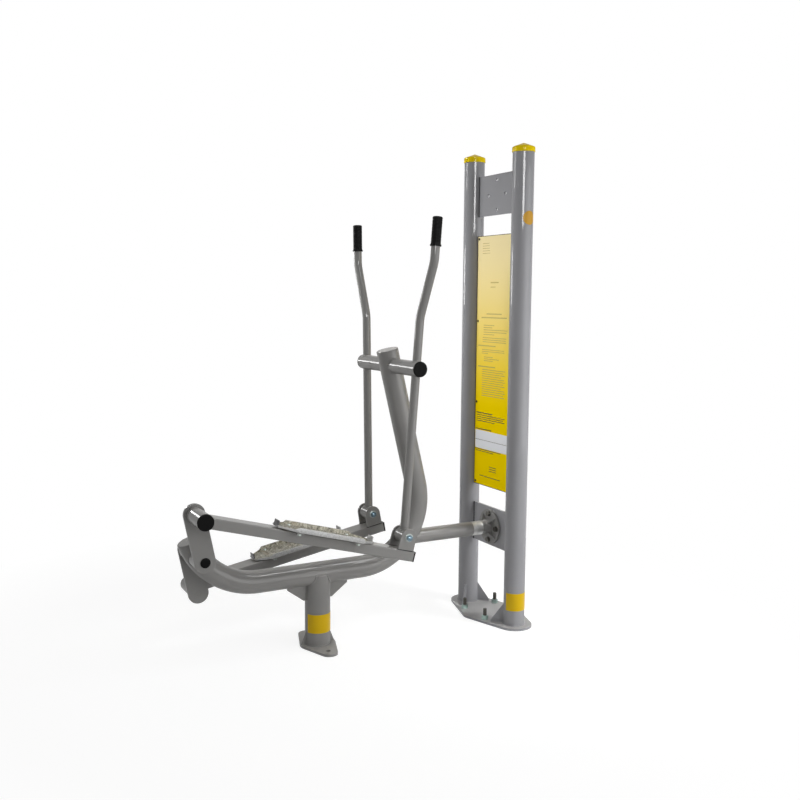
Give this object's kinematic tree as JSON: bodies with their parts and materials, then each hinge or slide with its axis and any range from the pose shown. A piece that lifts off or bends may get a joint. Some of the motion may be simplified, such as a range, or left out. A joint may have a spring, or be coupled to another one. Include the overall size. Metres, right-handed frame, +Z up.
{
  "type": "outdoor cross trainer",
  "caption": "Outdoor elliptical cross trainer with swinging handlebars, pedal arms on a crank and a bent tube frame, linked to a capped twin-post stand with a plain board.",
  "frame": {"origin": "centre of the underside of the machine's own ground plate, under its column", "axes": "+X forward to the stand, +Y to the user's left, +Z up"},
  "size_m": [1.5286, 0.6194, 2.01],
  "materials": {
    "stand_paint": "smooth powder coat",
    "frame_paint": "satin powder coat",
    "cap_paint": "gloss powder coat",
    "board_sheet": "printed sheet",
    "black_plastic": "moulded",
    "grip_rubber": "moulded with ribs",
    "zinc": "zinc plated",
    "bare_steel": "turned",
    "tread_metal": "pressed with studs"
  },
  "bodies": {
    "frame": {"main_tube": "frame_paint", "main_tube_caps": "frame_paint", "column": "frame_paint", "column_foot_plate": "frame_paint", "column_gussets": "frame_paint", "crank_hub": "frame_paint", "hub_bearings": "bare_steel", "cross_tube": "frame_paint", "pivot_shaft": "bare_steel", "link_tube": "frame_paint", "link_spigot": "bare_steel", "link_flange": "frame_paint", "flange_bolts": "zinc", "right_post": "stand_paint", "left_post": "stand_paint", "post_caps": "cap_paint", "stand_base_plate": "stand_paint", "stand_gussets": "stand_paint", "anchor_bolts": "zinc", "upper_plate": "stand_paint", "lower_plate": "stand_paint", "board": "board_sheet", "board_rails": "stand_paint", "board_screws": "zinc"},
    "right_lever_arm": {"right_lever": "frame_paint", "right_handlebar": "frame_paint", "right_lever_sleeve": "frame_paint", "right_sleeve_cap": "black_plastic", "right_lever_bearings": "bare_steel", "right_grip": "grip_rubber"},
    "left_lever_arm": {"left_lever": "frame_paint", "left_handlebar": "frame_paint", "left_lever_sleeve": "frame_paint", "left_sleeve_cap": "black_plastic", "left_lever_bearings": "bare_steel", "left_grip": "grip_rubber"},
    "right_pedal": {"right_pedal_arm": "frame_paint", "right_arm_sleeve": "frame_paint", "right_arm_caps": "black_plastic", "right_clevis": "frame_paint", "right_clevis_bolt": "zinc", "right_footplate": "tread_metal", "right_footplate_bolts": "zinc", "right_crank_pin": "bare_steel", "right_pin_bearings": "bare_steel"},
    "left_pedal": {"left_pedal_arm": "frame_paint", "left_arm_sleeve": "frame_paint", "left_arm_caps": "black_plastic", "left_clevis": "frame_paint", "left_clevis_bolt": "zinc", "left_footplate": "tread_metal", "left_footplate_bolts": "zinc", "left_crank_pin": "bare_steel", "left_pin_bearings": "bare_steel"},
    "crank": {"crank_axle": "bare_steel", "right_crank_arm": "frame_paint", "left_crank_arm": "frame_paint", "axle_caps": "black_plastic", "crank_pin_ends": "frame_paint"}
  },
  "joints": [
    {"name": "right_lever_swing", "type": "hinge", "parent": "frame", "child": "right_lever_arm", "pos_m": [0.323, 0, 1.113], "axis": [0, 1, 0], "range_deg": [-17.4, 12.2]},
    {"name": "left_lever_swing", "type": "hinge", "parent": "frame", "child": "left_lever_arm", "pos_m": [0.323, 0, 1.113], "axis": [0, 1, 0], "range_deg": [-12.2, 17.4]},
    {"name": "right_pedal_swing", "type": "hinge", "parent": "right_lever_arm", "child": "right_pedal", "pos_m": [0.27497, 0, 0.46277], "axis": [0, 1, 0], "range_deg": [-12.2, 17.4]},
    {"name": "left_pedal_swing", "type": "hinge", "parent": "left_lever_arm", "child": "left_pedal", "pos_m": [0.33373, 0, 0.46109], "axis": [0, 1, 0], "range_deg": [-17.4, 12.2]},
    {"name": "crank_spin", "type": "hinge", "parent": "frame", "child": "crank", "pos_m": [-0.48869, 0, 0.42897], "axis": [0, 1, 0], "continuous": true}
  ],
  "couplings": [
    {"joint": "left_lever_swing", "follows": "right_lever_swing", "ratio": -1},
    {"joint": "right_pedal_swing", "follows": "right_lever_swing", "ratio": -1},
    {"joint": "left_pedal_swing", "follows": "right_lever_swing", "ratio": 1},
    {"joint": "crank_spin", "follows": "right_lever_swing", "ratio": -3.7}
  ]
}
